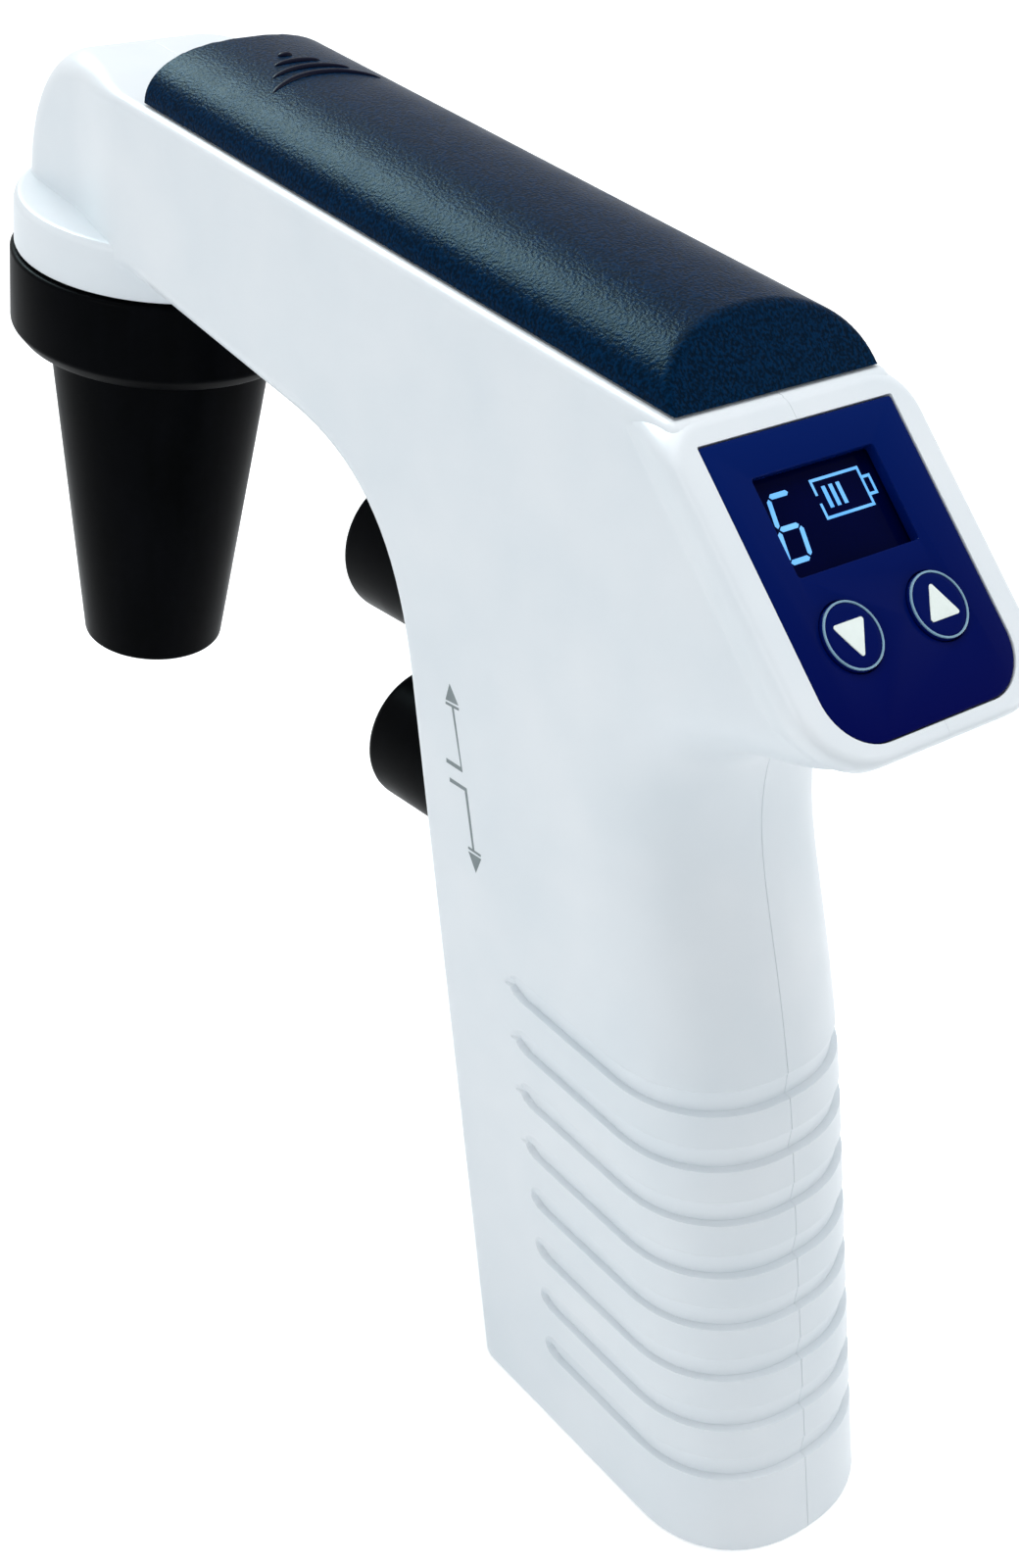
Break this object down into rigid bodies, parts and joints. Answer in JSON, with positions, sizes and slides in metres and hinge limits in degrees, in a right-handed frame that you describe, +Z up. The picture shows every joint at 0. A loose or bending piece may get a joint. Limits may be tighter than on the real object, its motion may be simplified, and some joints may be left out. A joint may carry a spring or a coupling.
{
  "type": "pipette controller",
  "caption": "Cordless pistol-grip pipette controller: side-screwed white shells, sliding battery cover, sloped display, plunger triggers and a screwed-on pipette nosepiece.",
  "frame": {"origin": "middle of the bounding box at the level of the grip's flat base", "axes": "+Z up, -X towards the nosepiece that takes the pipette, +Y the side away from the printed arrows; the two shells meet on y = 0"},
  "size_m": [0.1874, 0.0448, 0.1551],
  "materials": {
    "white_abs": "moulded ABS, satin to gloss, cool white",
    "black_abs": "moulded ABS, smooth satin black",
    "sparked_navy_black_abs": "moulded ABS from a spark-eroded tool, fine grain",
    "navy_gloss_fascia": "back-painted acrylic, high gloss",
    "display_lens": "clear acrylic over a dark negative display",
    "circuit_board": "glass-epoxy board with green solder mask",
    "nickel_plate": "bright nickel plate on steel",
    "grey_silicone": "moulded silicone, matte",
    "filter_housing": "welded polypropylene disc",
    "black_rubber": "moulded nitrile rubber",
    "cell_sleeve": "heat-shrunk sleeve on a metal can",
    "valve_body": "moulded acetal"
  },
  "bodies": {
    "body": {"housing_left": "white_abs", "housing_right": "white_abs", "battery_tray": "black_abs", "battery_cell": "cell_sleeve", "contact_plate": "nickel_plate", "contact_spring": "nickel_plate", "display_fascia": "navy_gloss_fascia", "lcd_lens": "display_lens", "lcd_module": "black_abs", "display_board": "circuit_board", "down_switch": "black_abs", "up_switch": "black_abs", "aspirate_valve": "valve_body", "dispense_valve": "valve_body", "neck_socket": "black_abs", "neck_seal": "black_rubber", "pump_motor": "nickel_plate", "pump_head": "black_abs", "control_board": "circuit_board", "charge_socket": "black_abs", "housing_screw_1": "nickel_plate", "housing_screw_2": "nickel_plate", "housing_screw_3": "nickel_plate", "housing_screw_4": "nickel_plate"},
    "cover": {"battery_cover": "sparked_navy_black_abs"},
    "aspirate": {"aspirate_trigger": "black_abs"},
    "dispense": {"dispense_trigger": "black_abs"},
    "key_down": {"down_key": "navy_gloss_fascia"},
    "key_up": {"up_key": "navy_gloss_fascia"},
    "nosepiece": {"nose_cone": "black_abs", "pipette_holder": "grey_silicone", "membrane_filter": "filter_housing"},
    "collar": {"nose_collar": "black_abs"}
  },
  "joints": [
    {"name": "cover_slide", "type": "slide", "parent": "body", "child": "cover", "axis": [-1, 0, 0], "range_m": [0, 0.014]},
    {"name": "aspirate_press", "type": "slide", "parent": "body", "child": "aspirate", "axis": [0.9932, 0, 0.1167], "range_m": [0, 0.005], "stiffness_N_per_m": 500, "springref_m": -0.002},
    {"name": "dispense_press", "type": "slide", "parent": "body", "child": "dispense", "axis": [0.9932, 0, 0.1167], "range_m": [0, 0.005], "stiffness_N_per_m": 500, "springref_m": -0.002},
    {"name": "key_down_press", "type": "slide", "parent": "body", "child": "key_down", "axis": [-0.632, 0, -0.7749], "range_m": [0, 0.0004], "stiffness_N_per_m": 800, "springref_m": -0.0005},
    {"name": "key_up_press", "type": "slide", "parent": "body", "child": "key_up", "axis": [-0.632, 0, -0.7749], "range_m": [0, 0.0004], "stiffness_N_per_m": 800, "springref_m": -0.0005},
    {"name": "nose_slide", "type": "slide", "parent": "body", "child": "nosepiece", "axis": [0, 0, -1], "range_m": [0, 0.01]},
    {"name": "collar_turn", "type": "hinge", "parent": "nosepiece", "child": "collar", "pos_m": [-0.0713, 0, 0.1045], "axis": [0, 0, 1], "range_deg": [0, 1440]}
  ],
  "couplings": [
    {"joint": "collar_turn", "follows": "nose_slide", "rad_per_m": 2513.3}
  ]
}
